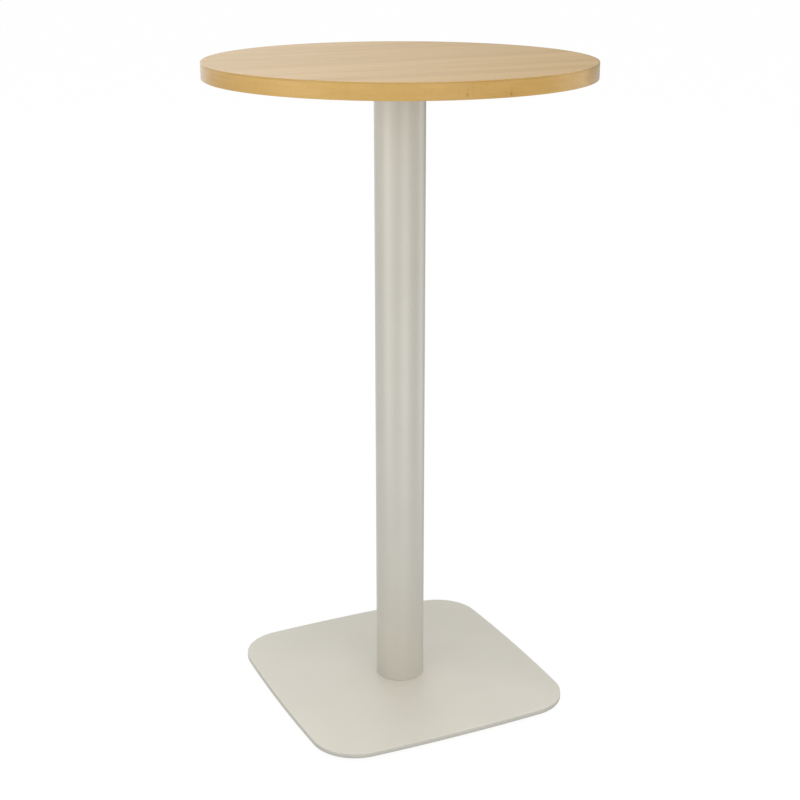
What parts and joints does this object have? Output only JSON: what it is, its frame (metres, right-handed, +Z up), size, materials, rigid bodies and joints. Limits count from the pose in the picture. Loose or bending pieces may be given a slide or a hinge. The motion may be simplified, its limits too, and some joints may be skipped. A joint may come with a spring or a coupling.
{
  "type": "standing meeting table",
  "caption": "Standing meeting table with a round veneered top on a round painted steel column and a flat square base plate with bowed sides, round corners and levelling glides.",
  "frame": {"origin": "on the floor, on the column's axis", "axes": "+Z up along the column, X and Y square to the sides of the base plate, the face veneer's grain along X"},
  "size_m": [0.6, 0.6, 1.05],
  "materials": {
    "face_veneer": "satin lacquered veneer, straight fine grain",
    "edge_band": "satin lacquered wood edge",
    "core_board": "raw chipboard",
    "painted_steel": "satin warm grey powder coat",
    "zinc_steel": "bright zinc plate",
    "mill_steel": "turned steel",
    "nylon": "matt moulded nylon"
  },
  "bodies": {
    "table": {"tabletop_core": "core_board", "tabletop_face_veneer": "face_veneer", "tabletop_backing_veneer": "face_veneer", "tabletop_edge_band": "edge_band", "top_spider": "painted_steel", "spider_bolt_1": "zinc_steel", "spider_bolt_2": "zinc_steel", "spider_bolt_3": "zinc_steel", "spider_bolt_4": "zinc_steel", "spider_screw_1": "zinc_steel", "spider_screw_2": "zinc_steel", "spider_screw_3": "zinc_steel", "spider_screw_4": "zinc_steel", "spider_screw_5": "zinc_steel", "spider_screw_6": "zinc_steel", "spider_screw_7": "zinc_steel", "spider_screw_8": "zinc_steel", "column_tube": "painted_steel", "column_head_disc": "mill_steel", "column_foot_disc": "mill_steel", "base_plate": "painted_steel", "base_bolt_1": "zinc_steel", "base_bolt_2": "zinc_steel", "base_bolt_3": "zinc_steel", "base_bolt_4": "zinc_steel"},
    "glide_foot_1": {"glide_foot_1": "nylon"},
    "glide_foot_2": {"glide_foot_2": "nylon"},
    "glide_foot_3": {"glide_foot_3": "nylon"},
    "glide_foot_4": {"glide_foot_4": "nylon"},
    "glide_stud_1": {"glide_stud_1": "zinc_steel"},
    "glide_stud_2": {"glide_stud_2": "zinc_steel"},
    "glide_stud_3": {"glide_stud_3": "zinc_steel"},
    "glide_stud_4": {"glide_stud_4": "zinc_steel"}
  },
  "joints": [
    {"name": "glide_1_lift", "type": "slide", "parent": "table", "child": "glide_foot_1", "axis": [0, 0, 1], "range_m": [-0.003, 0]},
    {"name": "glide_1_turn", "type": "hinge", "parent": "glide_foot_1", "child": "glide_stud_1", "pos_m": [0.17136, 0.17136, 0.0055], "axis": [0, 0, 1], "range_deg": [-864, 0]},
    {"name": "glide_2_lift", "type": "slide", "parent": "table", "child": "glide_foot_2", "axis": [0, 0, 1], "range_m": [-0.003, 0]},
    {"name": "glide_2_turn", "type": "hinge", "parent": "glide_foot_2", "child": "glide_stud_2", "pos_m": [-0.17136, 0.17136, 0.0055], "axis": [0, 0, 1], "range_deg": [-864, 0]},
    {"name": "glide_3_lift", "type": "slide", "parent": "table", "child": "glide_foot_3", "axis": [0, 0, 1], "range_m": [-0.003, 0]},
    {"name": "glide_3_turn", "type": "hinge", "parent": "glide_foot_3", "child": "glide_stud_3", "pos_m": [-0.17136, -0.17136, 0.0055], "axis": [0, 0, 1], "range_deg": [-864, 0]},
    {"name": "glide_4_lift", "type": "slide", "parent": "table", "child": "glide_foot_4", "axis": [0, 0, 1], "range_m": [-0.003, 0]},
    {"name": "glide_4_turn", "type": "hinge", "parent": "glide_foot_4", "child": "glide_stud_4", "pos_m": [0.17136, -0.17136, 0.0055], "axis": [0, 0, 1], "range_deg": [-864, 0]}
  ],
  "couplings": [
    {"joint": "glide_1_lift", "follows": "glide_1_turn", "m_per_rad": 0.00019894},
    {"joint": "glide_2_lift", "follows": "glide_2_turn", "m_per_rad": 0.00019894},
    {"joint": "glide_3_lift", "follows": "glide_3_turn", "m_per_rad": 0.00019894},
    {"joint": "glide_4_lift", "follows": "glide_4_turn", "m_per_rad": 0.00019894}
  ]
}
